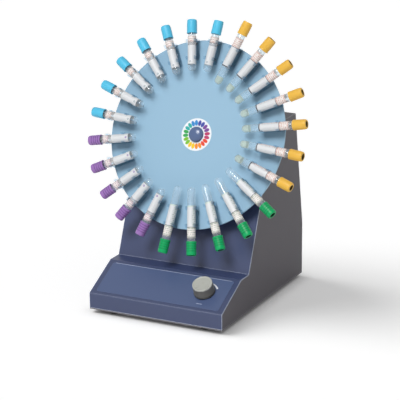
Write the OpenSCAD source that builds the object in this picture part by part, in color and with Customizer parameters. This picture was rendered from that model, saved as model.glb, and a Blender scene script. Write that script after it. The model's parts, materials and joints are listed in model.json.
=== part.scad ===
// Bench tube rotator: a disc of capped sample tubes turns on a leaning housing
// that holds a gearmotor, a speed control and a rear power inlet with its switch.
// Millimetres. +Z is up, the front looks towards -Y, and the origin is the point
// on the bench in the middle of the four feet.

/* [Housing] */
// Width across the two side panels
housing_w = 230; // [210:1:270]
// Depth from the front lip to the back wall
housing_d = 300; // [290:1:340]
// Height from the base plate's underside to the top
housing_h = 278; // [268:1:300]
// Height of the upright front lip
lip_h = 26.5; // [20:0.5:34]
// Front-to-back run of the sloping control panel
slope_run = 68.5; // [64:0.5:80]
// Height of the flat ledge behind the control panel
ledge_h = 60.8; // [56:0.2:68]
// Front-to-back run of the flat ledge
ledge_run = 26.5; // [20:0.5:32]
// Lean of the main face from upright, in degrees
face_tilt = 22.5; // [20:0.5:24]
// How far the back wall leans forward at its top
back_lean = 30; // [20:1:36]
// Height of the upright part of the back wall
back_low_h = 87; // [75:1:110]
// Thickness of the folded sheet
sheet_t = 1.5; // [1:0.1:2]
// Inside radius of the folds
fold_r = 1; // [0.6:0.1:2]
// Width of the turned-in flanges
flange_w = 14; // [10:1:18]
// Spacing of the base screws along each side
base_screw_pitch = 70; // [50:1:90]
// Thickness of the base plate
base_t = 2; // [1.5:0.1:3]

/* [Feet] */
// Height of each rubber foot
foot_h = 6; // [5:0.5:10]
// Radius of each rubber foot
foot_r = 7.5; // [6.5:0.5:10]
// Distance of a foot's centre from the housing's side
foot_inset_x = 36; // [28:1:45]
// Distance of a foot's centre from the housing's front or back
foot_inset_y = 17; // [16:1:24]

/* [Control panel] */
// Thickness of the control panel's film
film_t = 0.4; // [0.3:0.1:0.8]
// Bare margin between the film and the housing's sides
film_margin_x = 9; // [6:0.5:14]
// Bare margin between the film and the folds above and below it
film_margin_y = 6; // [4:0.5:8]
// Sideways place of the speed knob from the middle
knob_x = 69; // [55:1:75]
// Place of the speed knob up the slope, from the lip's fold
knob_up = 39; // [34:0.5:42]
// Radius of the knob at its skirt
knob_base_r = 16.9; // [15.5:0.1:19]
// Radius of the knob at its top
knob_top_r = 15.8; // [14.5:0.1:17]
// Height of the knob's top above the panel
knob_h = 19.7; // [18:0.1:24]
// Radius of the potentiometer's shaft
pot_shaft_r = 3; // [2.5:0.1:3.2]

/* [Disc] */
// Radius of the disc
disc_r = 150; // [149:0.5:155]
// Thickness of the disc
disc_t = 3; // [2:0.1:4]
// Distance from the main face to the disc's front
disc_gap = 27.8; // [27:0.1:32]
// Distance from the housing's top edge down the main face to the spindle
axis_down = 32; // [31:0.5:45]
// Radius of the cap over the disc's centre screw
hub_cap_r = 12; // [11:0.5:14]
// Outer radius of the round sticker around the cap
sticker_r = 25.8; // [22:0.1:34]

/* [Tubes] */
// Number of tubes around the disc
tube_count = 24; // [24]
// Angle of the first tube above the right-hand side, in degrees
first_angle = 10.3; // [0:0.1:14.9]
// Outer radius of a tube
tube_r = 6.5; // [6:0.1:6.8]
// Wall of a tube
tube_wall = 1; // [0.8:0.1:1.4]
// Length of a short tube
short_len = 75; // [73:0.5:78]
// Length of a long tube
long_len = 100; // [97:0.5:104]
// Distance from the spindle to a short tube's round end
short_start = 97.5; // [95:0.5:99]
// Distance from the spindle to a long tube's round end
long_start = 85; // [82:0.5:88]
// Bare length at a short tube's round end, before its label
short_label_in = 11; // [8:0.5:16]
// Bare length at a long tube's round end, before its label
long_label_in = 30; // [24:0.5:34]
// Height of the tubes' axes above the disc
tube_lift = 17.7; // [17:0.1:22]
// Radius of a cap at its skirt
cap_r = 8.2; // [8:0.1:8.6]
// Length of a cap that reaches past its tube's mouth
cap_over = 7.3; // [6.5:0.1:9]
// Length of a cap that covers its tube
cap_under = 14.5; // [13:0.1:16]

/* [Clips] */
// Distance from the spindle to a clip's inner jaw
jaw_near = 116; // [114:0.5:118]
// Distance from the spindle to a clip's outer jaw
jaw_far = 143.5; // [141:0.5:144]
// Width of a jaw along the tube
jaw_w = 5; // [4:0.1:6]
// Thickness of a jaw's arms
jaw_t = 1.5; // [1.2:0.1:1.8]

/* [Drive] */
// Radius of the spindle
spindle_r = 4; // [3.5:0.1:4.5]
// Outer radius of the spindle's ball bearings
bearing_r = 11; // [10.5:0.1:12]
// Width of each ball bearing
bearing_w = 7; // [6:0.1:8]
// Radius of the gearbox
gearbox_r = 18.5; // [17.5:0.1:20]
// Length of the gearbox
gearbox_len = 22; // [20:0.5:26]
// Length of the motor
motor_len = 30; // [26:0.5:32]

/* [Rear] */
// Sideways place of the power switch
switch_x = 72; // [55:1:80]
// Sideways place of the power inlet
inlet_x = 40; // [20:1:45]
// Height of the switch and the inlet above the base plate's underside
rear_port_h = 45; // [35:1:55]
// Tilt of the rocker to either side, in degrees
rocker_tilt = 9; // [6:0.5:10]

/* [Hidden] */
$fn = 64;
fit = 0.02;              // clearance of parts pressed or pinned together
running = 0.06;          // clearance of a shaft that turns in a bore
play = 0.2;              // clearance of a part that drops into a hole
fold_steps = 5;          // facets in each fold of the sheet

// Side profile of the housing, as [depth from the front, height]
face_run = (housing_h - ledge_h) * tan(face_tilt);
lip_top = [0, lip_h];
slope_top = [slope_run, ledge_h];
ledge_back = [slope_run + ledge_run, ledge_h];
back_top = [housing_d - back_lean, housing_h];
back_knee = [housing_d, back_low_h];
under_top = housing_h - sheet_t;
function face_at(z) = [ledge_back[0] + (z - ledge_h) * tan(face_tilt), z];

// The sloping panel's own frame: u runs up the slope and n stands out of it
slope_angle = atan2(ledge_h - lip_h, slope_run);
slope_len = norm(slope_top - lip_top);

// The disc's own frame: its origin is the middle of the disc's front face
face_u = [sin(face_tilt), cos(face_tilt)];
face_n = [-cos(face_tilt), sin(face_tilt)];
disc_at = face_at(housing_h) - axis_down * face_u + disc_gap * face_n;

// Drive, as heights in the disc's frame; all lie behind the disc
face_z = -disc_gap;                     // outer side of the main face
inner_z = face_z - sheet_t;             // inner side of the main face
hub_flange_t = 6;
hub_flange_r = 20;
hub_boss_r = 10;
spacer_r = spindle_r + 1.4;
bearing_wall = 3;
housing_boss_r = bearing_r + bearing_wall;
housing_flange_r = housing_boss_r + 10;
housing_flange_t = 4;
bearing_front = face_z + 9;             // front of the front bearing
bearing_gap = 5;                        // land between the two bearings
bearing_back = bearing_front - bearing_w - bearing_gap;
bearing_end = bearing_back - bearing_w;
bearing_screw_r = (housing_boss_r + housing_flange_r) / 2;
hub_back = -disc_t - hub_flange_t;
hub_boss_end = bearing_front + 2;
coupling_r = 9.5;
coupling_len = 18;
coupling_front = bearing_end - 3;
coupling_back = coupling_front - coupling_len;
coupling_mid = (coupling_front + coupling_back) / 2;
output_r = 3;
output_boss_r = 6;
output_boss_len = 3.5;
bracket_t = 3;
gearbox_front = coupling_back - output_boss_len - 1.5;
gearbox_back = gearbox_front - gearbox_len;
motor_back = gearbox_back - motor_len;
motor_r = gearbox_r - 0.8;
post_r = 4;
post_off = housing_flange_r * 0.87;
bracket_half = post_off + post_r + 2;
gearbox_screw_r = gearbox_r - 3;
m4_r = 2;
m4_head_r = 3.3;
m4_head_h = 2.4;

// Tubes
bore_r = tube_r - tube_wall;
label_t = 0.12;
jaw_r = tube_r + label_t + 0.08;
stopper_grip = 9;
label_gap_short = 3.5;
label_gap_long = 4.5;
gel_len = 12;
clip_base_t = 2;
clip_base_w = 11;
clip_rib_w = 5;
clip_neck_w = 5.6;
clip_from = jaw_near - 3;
clip_to = jaw_far + jaw_w + 3;
clip_screw_r = 1.5;
clip_screw_grip = 6;
clip_screws_at = [clip_from + 7, clip_to - 7];

// Tube numbers of each cap colour, counted from the first tube anticlockwise
YELLOW = [0, 1, 2, 3, 4, 22, 23];
BLUE = [5, 6, 7, 8, 9, 10, 11];
PURPLE = [12, 13, 14, 15, 16];
GREEN = [17, 18, 19, 20, 21];
LONG = concat(YELLOW, GREEN);
SHORT = concat(BLUE, PURPLE);

// Potentiometer and knob, as heights above the sloping panel
bushing_r = 4.5;
pot_r = 12;
pot_len = 10;
washer_t = 0.6;
nut_t = 2.4;
nut_r = 6.9;
nut_top = film_t + washer_t + nut_t;
bushing_top = nut_top + 0.5;
knob_lift = film_t + 1;
knob_wall = 2;
knob_top_t = 3;
knob_boss_r = pot_shaft_r + 3;
knob_boss_end = bushing_top + 0.8;
shaft_top = knob_h - knob_top_t - 0.5;

// Rear switch and inlet, as depths measured out of the back wall
bezel_w = 21;
bezel_h = 15;
bezel_t = 1.6;
switch_w = 19;
switch_h = 13;
switch_depth = 16;
rocker_w = 16.8;
rocker_half = 5;
rocker_room = 5.9;
rocker_depth = 8;
rocker_pin_r = 1;
rocker_pin_len = 0.8;
rocker_axis = 0.4;
inlet_r = 5.5;
inlet_flange_r = 7;
inlet_flange_t = 2.2;
inlet_len = 13;
inlet_socket_r = 2.8;
inlet_pin_r = 1.05;
inlet_socket_len = 9.5;

// Control board on the base plate
board = [72, 52, 1.6];
board_at = [-20, 150];
standoff_h = 8;
standoff_r = 3;
board_hole_in = 4;
terminal = [10, 8, 9];
terminal_y = 1 - board[1] / 2;
terminal_z = 4;                         // height of the lead's hole in a terminal block
TERMINALS = [-21, -7, 7, 21];
lead_r = 1.6;
lead_depth = 3;                         // length of a lead inside its terminal block
lead_gap = 0.3;                         // clearance between a lead's end and its lug

// ---------- folded sheet ----------

function unit(v) = v / norm(v);
function right(v) = [v[1], -v[0]];
function turned(v, a) = [v[0] * cos(a) - v[1] * sin(a), v[0] * sin(a) + v[1] * cos(a)];
function cross2(a, b) = a[0] * b[1] - a[1] * b[0];

// One fold at b on the way from a to c, as [point of the outer side, inward normal]
function fold(a, b, c) =
  let (u = unit(b - a), v = unit(c - b))
  let (s = sign(cross2(u, v)), angle = acos(u * v))
  let (r = s < 0 ? fold_r + sheet_t : fold_r)
  let (start = b - u * r * tan(angle / 2), centre = start - s * r * right(u))
  [for (i = [0:fold_steps])
    let (n = turned(right(u), s * angle * i / fold_steps))
    [centre + s * r * n, n]];

// A whole folded outline; the sheet's inside lies to the right of the way it runs
function folded(p) = let (last = len(p) - 1) concat(
  [[p[0], right(unit(p[1] - p[0]))]],
  [for (i = [1:1:last - 1]) each fold(p[i - 1], p[i], p[i + 1])],
  [[p[last], right(unit(p[last] - p[last - 1]))]]);
function inset(path, d) = [for (q = path) q[0] + q[1] * d];
function reversed(list) = [for (i = [len(list) - 1:-1:0]) list[i]];

// Extrudes a profile drawn as [depth, height] across the width, centred
module across(w) {
  translate([-w / 2, 0, 0]) rotate([90, 0, 90]) linear_extrude(w) children();
}
module sheet(points, w) {
  path = folded(points);
  across(w) polygon(concat(inset(path, 0), reversed(inset(path, sheet_t))));
}

// ---------- frames ----------

module on_bench() { translate([0, -housing_d / 2, foot_h]) children(); }
module on_slope() { translate([0, 0, lip_h]) rotate([slope_angle, 0, 0]) children(); }
module at_knob() { on_slope() translate([knob_x, knob_up, 0]) children(); }
module on_disc() {
  translate([0, disc_at[0], disc_at[1]]) rotate([90 - face_tilt, 0, 0]) children();
}
module on_back(x) {
  translate([x, housing_d, rear_port_h]) rotate([-90, 0, 0]) children();
}
// Turns to tube k; +X then runs outwards along the tube
module at_tube(k) { rotate([0, 0, first_angle + k * 360 / tube_count]) children(); }
// The tube's own axis as +Z, measured from the spindle
module along_tube(k) {
  at_tube(k) translate([0, 0, tube_lift]) rotate([0, 90, 0]) children();
}

// ---------- fasteners ----------

// Upright round bar between two heights
module bar(r, z0, z1) { translate([0, 0, min(z0, z1)]) cylinder(r = r, h = abs(z1 - z0)); }
// Ring between two heights
module ring(r_out, r_in, z0, z1) {
  translate([0, 0, min(z0, z1)])
    linear_extrude(abs(z1 - z0)) difference() { circle(r_out); circle(r_in); }
}
// Cross-recessed screw: its head stands on z = 0 and its shank points down
module screw(r, head_r, head_h, grip) {
  recess = head_r * 0.45;
  bar(r, -grip, 0);
  difference() {
    bar(head_r, 0, head_h);
    for (a = [0, 90]) rotate(a)
      translate([-head_r * 0.6, -recess / 4, head_h * 0.45])
        cube([head_r * 1.2, recess / 2, head_h]);
  }
}
// Hexagon nut of a corner radius, bored to a radius
module hex_nut(corner_r, r, z0, z1) {
  difference() {
    translate([0, 0, z0]) cylinder(r = corner_r, h = z1 - z0, $fn = 6);
    bar(r, z0 - 1, z1 + 1);
  }
}

// ---------- housing ----------

function front_outline() = [[0, base_t], lip_top, slope_top, ledge_back, face_at(under_top)];
function cover_outline() = [face_at(housing_h), back_top, back_knee, [housing_d, base_t]];
inner_w = housing_w - 2 * sheet_t - 2 * play;

module front_panel() color("slategray") {
  grip = 12;
  top = face_at(under_top);
  difference() {
    union() {
      sheet(front_outline(), housing_w);
      sheet([[flange_w, base_t], [0, base_t], [0, base_t + grip]], inner_w);
      sheet([face_at(under_top - grip), top, top + [flange_w, 0]], inner_w);
    }
    at_knob() bar(bushing_r + play, -5, 5);
    on_disc() {
      bar(housing_boss_r + play, face_z - 5, face_z + 5);
      for (a = [45:90:315]) rotate(a) {
        translate([bearing_screw_r, 0, 0]) bar(m4_r + play, face_z - 5, face_z + 5);
      }
      at_posts() bar(m4_r + play, face_z - 5, face_z + 5);
    }
    at_base_screws() bar(m4_r + play, -1, base_t + sheet_t + 1);
    at_feet() bar(foot_shank_r + play, -1, base_t + sheet_t + 1);
  }
}

module rear_cover() color("dimgray") {
  grip = 12;
  difference() {
    union() {
      sheet(cover_outline(), housing_w);
      sheet([[housing_d, base_t + grip], [housing_d, base_t], [housing_d - flange_w, base_t]],
            inner_w);
    }
    on_back(inlet_x) bar(inlet_r + play, -5, 5);
    on_back(switch_x)
      cube([switch_w + 2 * play, switch_h + 2 * play, 10], center = true);
    at_base_screws() bar(m4_r + play, -1, base_t + sheet_t + 1);
    at_feet() bar(foot_shank_r + play, -1, base_t + sheet_t + 1);
  }
}

// Side panel on the +X side; its edges lie against the folded front and cover
module side_panel() color("dimgray") {
  front = folded([[0, base_t], lip_top, slope_top, ledge_back,
                  face_at(under_top + sheet_t * sin(face_tilt))]);
  back = folded([face_at(housing_h), back_top, back_knee, [housing_d, base_t]]);
  corner = inset(front, sheet_t);
  top_from = face_at(under_top)[0] + flange_w + 4;
  inner_x = housing_w / 2 - sheet_t;
  difference() {
    union() {
      translate([inner_x, 0, 0]) rotate([90, 0, 90]) linear_extrude(sheet_t)
        polygon(concat(corner, [for (q = inset(back, sheet_t)) if (q[0] > top_from) q]));
      translate([inner_x - flange_w, flange_w + 3, base_t])
        cube([flange_w + sheet_t / 2, housing_d - 2 * flange_w - 6, sheet_t]);
      translate([inner_x - flange_w, top_from, under_top - sheet_t])
        cube([flange_w + sheet_t / 2, back_top[0] - 6 - top_from, sheet_t]);
    }
    at_base_screws() bar(m4_r + play, -1, base_t + sheet_t + 1);
  }
}
module side_panel_right() side_panel();
module side_panel_left() mirror([1, 0, 0]) side_panel();

// Screws that hold the shell to the base plate: three a side, two front and back
module at_base_screws() {
  x_side = housing_w / 2 - sheet_t - flange_w / 2;
  y_mid = housing_d / 2;
  for (sx = [-1, 1], y = [y_mid - base_screw_pitch, y_mid, y_mid + base_screw_pitch])
    translate([sx * x_side, y, 0]) children();
  for (sx = [-1, 1], y = [flange_w * 0.55, housing_d - flange_w * 0.55])
    translate([sx * housing_w * 0.22, y, 0]) children();
}
module at_feet() {
  for (sx = [-1, 1], sy = [-1, 1])
    translate([sx * (housing_w / 2 - foot_inset_x),
               housing_d / 2 + sy * (housing_d / 2 - foot_inset_y), 0]) children();
}
foot_shank_r = 3.2;                     // shank that passes up through the base plate
foot_shank_top = base_t + 3;
foot_screw_r = 1.8;
foot_screw_head_r = 3.4;
foot_screw_head_h = 2;

module base_plate() color("dimgray") difference() {
  translate([-housing_w / 2, 0, 0]) cube([housing_w, housing_d, base_t]);
  at_base_screws() bar(m4_r + play, -1, base_t + 1);
  at_feet() bar(foot_shank_r + fit, -1, base_t + 1);
  at_standoffs() bar(1.5 + play, -1, base_t + 1);
}
module base_screws() color("silver")
  at_base_screws() mirror([0, 0, 1]) screw(m4_r, m4_head_r, m4_head_h, base_t + sheet_t + 3);

// Feet moulded with a hollow shank, which a screw from inside spreads in the base plate
module rubber_feet() color("#222222") at_feet() difference() {
  union() {
    bar(foot_r, -foot_h, 0);
    bar(foot_shank_r, -foot_h / 2, foot_shank_top);
  }
  bar(foot_screw_r + fit, 0, foot_shank_top + 1);
}
module foot_screws() color("silver") at_feet() translate([0, 0, foot_shank_top])
  screw(foot_screw_r, foot_screw_head_r, foot_screw_head_h, foot_shank_top - fit);

// ---------- control panel ----------

module control_film() color("steelblue") on_slope() {
  w = housing_w - 2 * film_margin_x;
  d = slope_len - 2 * film_margin_y;
  corner = 4;
  difference() {
    translate([0, slope_len / 2, 0]) linear_extrude(film_t) {
      square([w - 2 * corner, d], center = true);
      square([w, d - 2 * corner], center = true);
      for (sx = [-1, 1], sy = [-1, 1])
        translate([sx * (w / 2 - corner), sy * (d / 2 - corner)]) circle(corner);
    }
    translate([knob_x, knob_up, 0]) bar(bushing_r + play, -1, film_t + 1);
  }
}

module potentiometer() color("#8a8f80") at_knob() difference() {
  union() {
    bar(pot_r, -sheet_t - pot_len, -sheet_t);
    bar(bushing_r, -sheet_t - 1, bushing_top);
    for (x = [-5, 0, 5]) translate([x - 1, -pot_r - 5, -sheet_t - pot_len + 2]) cube([2, 8, 0.8]);
  }
  bar(pot_shaft_r + running, -sheet_t - pot_len + 2, bushing_top + 1);
}
module pot_washer() color("silver") at_knob() ring(8, bushing_r + fit, film_t, film_t + washer_t);
module pot_nut() color("silver") at_knob()
  hex_nut(nut_r, bushing_r + fit, film_t + washer_t, nut_top);
module pot_shaft() color("silver") at_knob() bar(pot_shaft_r, -sheet_t - pot_len + 2.5, shaft_top);

module speed_knob() color("#a3a7a5") at_knob() difference() {
  edge = 0.7;
  rim = 1.5;
  dish = 0.7;
  bottom_in = knob_base_r - knob_wall;
  top_in = knob_top_r - knob_wall;
  ceiling = knob_h - knob_top_t;
  rotate_extrude() polygon([
    [knob_boss_r, knob_boss_end], [knob_boss_r, ceiling], [top_in, ceiling],
    [bottom_in, knob_lift], [knob_base_r, knob_lift], [knob_top_r, knob_h - edge],
    [knob_top_r - edge * 0.3, knob_h - edge * 0.3], [knob_top_r - edge, knob_h],
    [knob_top_r - rim, knob_h], [knob_top_r - rim - dish, knob_h - dish],
    [0, knob_h - dish], [0, knob_boss_end]]);
  bar(pot_shaft_r + fit, 0, shaft_top + 0.3);
  rotate(240) translate([knob_top_r * 0.45, -0.6, knob_h - dish - 0.4])
    cube([knob_top_r, 1.2, 2]);
}

// ---------- electronics ----------

module at_board() {
  translate([board_at[0], board_at[1], base_t + standoff_h]) children();
}
module at_standoffs() {
  for (sx = [-1, 1], sy = [-1, 1])
    translate([board_at[0] + sx * (board[0] / 2 - board_hole_in),
               board_at[1] + sy * (board[1] / 2 - board_hole_in), 0]) children();
}
module control_board() color("darkgreen") difference() {
  at_board() translate([-board[0] / 2, -board[1] / 2, 0]) cube(board);
  at_standoffs() bar(1.5 + play, 0, base_t + standoff_h + board[2] + 1);
}
module board_standoffs() color("gold") at_standoffs() difference() {
  bar(standoff_r, base_t, base_t + standoff_h);
  bar(1.5 + fit, base_t - 1, base_t + standoff_h + 1);
}
module board_screws() color("silver") at_standoffs() {
  translate([0, 0, base_t + standoff_h + board[2]]) screw(1.5, 2.7, 1.8, board[2] + 3.5);
  mirror([0, 0, 1]) screw(1.5, 2.7, 1.8, base_t + 3.5);
}
// Terminal blocks, reservoir capacitor, regulator with its heat sink, controller chip
module board_components() color("#3b4a3f") at_board() translate([0, 0, board[2]]) {
  for (x = TERMINALS) translate([x, terminal_y, 0]) difference() {
    translate([-terminal[0] / 2, 0, 0]) cube(terminal);
    for (dx = [-2.5, 2.5]) translate([dx, terminal[1] - 3.5, 0]) bar(1.6, 6.5, terminal[2] + 1);
    translate([0, 0, terminal_z]) rotate([-90, 0, 0]) bar(lead_r + play, -1, lead_depth + 1);
  }
  translate([20, 4, 0]) bar(5, 0, 16);
  translate([20, 17, 0]) bar(3.2, 0, 11);
  translate([-8, 2, 0]) cube([12, 7, 3.2]);
  translate([-28, 12, 0]) {
    cube([16, 2, 18]);
    for (x = [0:3:15]) translate([x, 2, 0]) cube([1, 5, 18]);
    translate([3, -4.5, 2]) cube([10, 4.5, 12]);
  }
}

// ---------- rear inlet and switch ----------

module power_inlet() color("#1c1c1e") on_back(inlet_x) {
  difference() {
    union() {
      bar(inlet_r, -inlet_len, 1);
      bar(inlet_flange_r, 0, inlet_flange_t);
      for (x = [-2.5, 2.5]) translate([x - 1, -0.4, -inlet_len - 5]) cube([2, 0.8, 6]);
    }
    bar(inlet_socket_r, inlet_flange_t - inlet_socket_len, inlet_flange_t + 1);
  }
  bar(inlet_pin_r, inlet_flange_t - inlet_socket_len - 0.5, inlet_flange_t - 1);
}
module inlet_nut() color("silver") on_back(inlet_x)
  hex_nut(8, inlet_r + fit, -sheet_t - 2.5, -sheet_t);

module switch_body() color("#1c1c1e") on_back(switch_x) difference() {
  pocket_w = rocker_w + 2 * play;
  union() {
    translate([-bezel_w / 2, -bezel_h / 2, 0]) cube([bezel_w, bezel_h, bezel_t]);
    translate([-switch_w / 2, -switch_h / 2, -switch_depth]) cube([switch_w, switch_h, switch_depth + 1]);
    for (y = [-4, 4]) translate([-2.4, y - 0.4, -switch_depth - 7]) cube([4.8, 0.8, 8]);
  }
  translate([-pocket_w / 2, -rocker_room, -rocker_depth])
    cube([pocket_w, 2 * rocker_room, rocker_depth + bezel_t + 1]);
  translate([-rocker_w / 2 - rocker_pin_len - play, 0, rocker_axis]) rotate([0, 90, 0])
    cylinder(r = rocker_pin_r + running, h = rocker_w + 2 * rocker_pin_len + 2 * play);
}
// Rocker that lies tilted to OFF; its outline is drawn as [up the wall, out of the wall]
module power_rocker() color("#2a2a2d") on_back(switch_x)
  translate([0, 0, rocker_axis]) rotate([-rocker_tilt, 0, 0]) {
    crest = 4.2;
    waist = 2.6;
    keel = 3.4;
    rotate([90, 0, 90]) translate([0, 0, -rocker_w / 2]) linear_extrude(rocker_w) polygon(concat(
      [for (i = [-6:6]) [rocker_half * i / 6, waist + (crest - waist) * pow(i / 6, 2)]],
      [for (a = [0:15:180]) [rocker_half * cos(a), -keel * sin(a)]]));
    rotate([0, 90, 0])
      cylinder(r = rocker_pin_r, h = rocker_w + 2 * rocker_pin_len, center = true);
  }

// ---------- drive ----------

module at_posts() {
  for (sx = [-1, 1], sy = [-1, 1]) translate([sx * post_off, sy * post_off, 0]) children();
}
module bearing_housing() color("silver") on_disc() difference() {
  lip = 0.5;
  union() {
    bar(housing_boss_r, bearing_end - lip, bearing_front + lip);
    bar(housing_flange_r, face_z, face_z + housing_flange_t);
  }
  bar(bearing_r + fit, bearing_front - bearing_w, bearing_front + 5);
  bar(bearing_r + fit, bearing_end - 5, bearing_back);
  bar(bearing_r - 1.6, bearing_end, bearing_front);
  for (a = [45:90:315]) rotate(a) translate([bearing_screw_r, 0, 0])
    bar(m4_r + play, face_z - 1, face_z + housing_flange_t + 1);
}
module bearing_screws() color("gray") on_disc() for (a = [45:90:315]) rotate(a)
  translate([bearing_screw_r, 0, face_z + housing_flange_t])
    screw(m4_r, m4_head_r, m4_head_h, housing_flange_t + sheet_t + 3);

ring_in_r = spindle_r + 2;
ring_out_r = bearing_r - 2.2;
module bearing_outer_rings() color("lightgray") on_disc() for (z = [bearing_front, bearing_back]) {
  shield = 0.5;
  ring(bearing_r, ring_out_r, z - bearing_w, z);
  ring(ring_out_r + 0.3, ring_in_r + play, z - shield - 0.3, z - 0.3);
  ring(ring_out_r + 0.3, ring_in_r + play, z - bearing_w + 0.3, z - bearing_w + shield + 0.3);
}
module bearing_inner_rings() color("lightgray") on_disc() for (z = [bearing_front, bearing_back])
  ring(ring_in_r, spindle_r + fit, z - bearing_w, z);

module bracket_posts() color("silver") on_disc() at_posts() difference() {
  bar(post_r, inner_z, gearbox_front + bracket_t);
  bar(m4_r + fit, inner_z + 1, inner_z - 8);
  bar(m4_r + fit, gearbox_front + bracket_t - 1, gearbox_front + bracket_t + 8);
}
module post_screws() color("gray") on_disc() at_posts() {
  translate([0, 0, face_z]) screw(m4_r, m4_head_r, m4_head_h, sheet_t + 6);
  translate([0, 0, gearbox_front]) mirror([0, 0, 1]) screw(m4_r, m4_head_r, m4_head_h, bracket_t + 6);
}
module motor_bracket() color("darkgray") on_disc() difference() {
  translate([-bracket_half, -bracket_half, gearbox_front])
    cube([2 * bracket_half, 2 * bracket_half, bracket_t]);
  bar(output_boss_r + play, gearbox_front - 1, gearbox_front + bracket_t + 1);
  at_posts() bar(m4_r + play, gearbox_front - 1, gearbox_front + bracket_t + 1);
  for (a = [0:60:300]) rotate(a) translate([gearbox_screw_r, 0, 0])
    bar(1.5 + play, gearbox_front - 1, gearbox_front + bracket_t + 1);
}
module gearbox_screws() color("gray") on_disc() for (a = [0:60:300]) rotate(a)
  translate([gearbox_screw_r, 0, gearbox_front + bracket_t]) screw(1.5, 2.7, 1.8, bracket_t + 4);

module gearbox() color("silver") on_disc() difference() {
  union() {
    bar(gearbox_r, gearbox_back, gearbox_front);
    bar(output_boss_r, gearbox_front, gearbox_front + output_boss_len);
  }
  bar(output_r + running, gearbox_front - 10, gearbox_front + output_boss_len + 1);
  for (a = [0:60:300]) rotate(a) translate([gearbox_screw_r, 0, 0])
    bar(1.5 + fit, gearbox_front - 5, gearbox_front + 1);
}
module motor() color("gainsboro") on_disc() {
  bar(motor_r, motor_back, gearbox_back);
  bar(5, motor_back - 2.5, motor_back);
  for (x = [-10, 10]) translate([x - 1.5, -0.4, motor_back - 5]) cube([3, 0.8, 5]);
}
module gearbox_shaft() color("lightgray") on_disc()
  bar(output_r, gearbox_front - 9.5, coupling_mid - 0.5);
module shaft_coupling() color("silver") on_disc() difference() {
  bar(coupling_r, coupling_back, coupling_front);
  bar(spindle_r + fit, coupling_mid, coupling_front + 1);
  bar(output_r + fit, coupling_back - 1, coupling_mid + 1);
  at_grub(coupling_front - 4.5, 0) bar(1.6 + fit, 1, coupling_r + 1);
  at_grub(coupling_back + 4.5, 0) bar(1.6 + fit, 1, coupling_r + 1);
}
module at_grub(z, a) { rotate(a) translate([0, 0, z]) rotate([0, 90, 0]) children(); }
hub_grub_z = (hub_back + hub_boss_end) / 2;
module grub_screws() color("#444444") on_disc() {
  at_grub(coupling_front - 4.5, 0) bar(1.6, spindle_r + fit, coupling_r - 0.3);
  at_grub(coupling_back + 4.5, 0) bar(1.6, output_r + fit, coupling_r - 0.3);
  at_grub(hub_grub_z, 90) bar(1.6, spindle_r + fit, hub_boss_r - 0.3);
}
module spindle() color("lightgray") on_disc() difference() {
  bar(spindle_r, coupling_mid + 0.5, -disc_t / 2);
  bar(hub_screw_r + fit, -hub_screw_grip - 1, 1);
}

// ---------- disc and hub ----------

hub_screw_r = 2.5;
hub_screw_grip = 12;
hub_screw_head_r = 4.5;
hub_screw_head_h = 3;
hub_washer_r = hub_cap_r - 3;
hub_washer_t = 1.5;
drive_pin_r = 1.5;
drive_pin_at = 15;

module hub_flange() color("silver") on_disc() difference() {
  union() {
    bar(hub_flange_r, hub_back, -disc_t);
    bar(hub_boss_r, hub_boss_end, -disc_t);
    bar(spacer_r, bearing_front, -disc_t);
  }
  bar(spindle_r + fit, bearing_front - 1, 1);
  for (a = [0, 180]) rotate(a) translate([drive_pin_at, 0, 0]) bar(drive_pin_r + fit, hub_back - 1, 1);
  at_grub(hub_grub_z, 90) bar(1.6 + fit, 1, hub_boss_r + 1);
}
module drive_pins() color("gray") on_disc() for (a = [0, 180]) rotate(a)
  translate([drive_pin_at, 0, 0]) bar(drive_pin_r, hub_back + 1, -0.3);

module disc() color("#9bbfd8") on_disc() difference() {
  edge = 0.5;
  rotate_extrude($fn = 180) polygon([
    [0, -disc_t], [disc_r - edge, -disc_t], [disc_r, -disc_t + edge],
    [disc_r, -edge], [disc_r - edge, 0], [0, 0]]);
  bar(spindle_r + play, -disc_t - 1, 1);
  for (a = [0, 180]) rotate(a) translate([drive_pin_at, 0, 0]) bar(drive_pin_r + play, -disc_t - 1, 1);
  for (k = [0:tube_count - 1], x = clip_screws_at) at_tube(k) translate([x, 0, 0])
    bar(clip_screw_r + play, -disc_t - 1, 1);
}
module hub_washer() color("silver") on_disc() ring(hub_washer_r, hub_screw_r + play, 0, hub_washer_t);
module hub_screw() color("gray") on_disc() {
  bar(hub_screw_r, -hub_screw_grip, hub_washer_t + 0.5);
  difference() {
    bar(hub_screw_head_r, hub_washer_t, hub_washer_t + hub_screw_head_h);
    translate([0, 0, hub_washer_t + 1]) cylinder(r = 1.7, h = hub_screw_head_h, $fn = 6);
  }
}
module hub_cap() color("#4a5468") on_disc() {
  rise = 8;
  side = 3;
  wall = 1.6;
  dome_rise = rise - side;
  steps = 10;
  cavity_r = hub_cap_r - wall;
  rotate_extrude() polygon(concat(
    [[hub_washer_r + play, 0], [hub_cap_r, 0]],
    [for (i = [0:steps]) let (a = 90 * i / steps)
      [hub_cap_r * cos(a), side + dome_rise * sin(a)]],
    [for (i = [steps:-1:0]) let (a = 90 * i / steps)
      [cavity_r * cos(a), side + (dome_rise - wall) * sin(a)]],
    [[cavity_r, hub_washer_t + 0.4], [hub_washer_r + play, hub_washer_t]]));
}
module centre_sticker() color("white") on_disc() ring(sticker_r, hub_cap_r + 0.3, 0, 0.25);

// ---------- clips and tubes ----------

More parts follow.
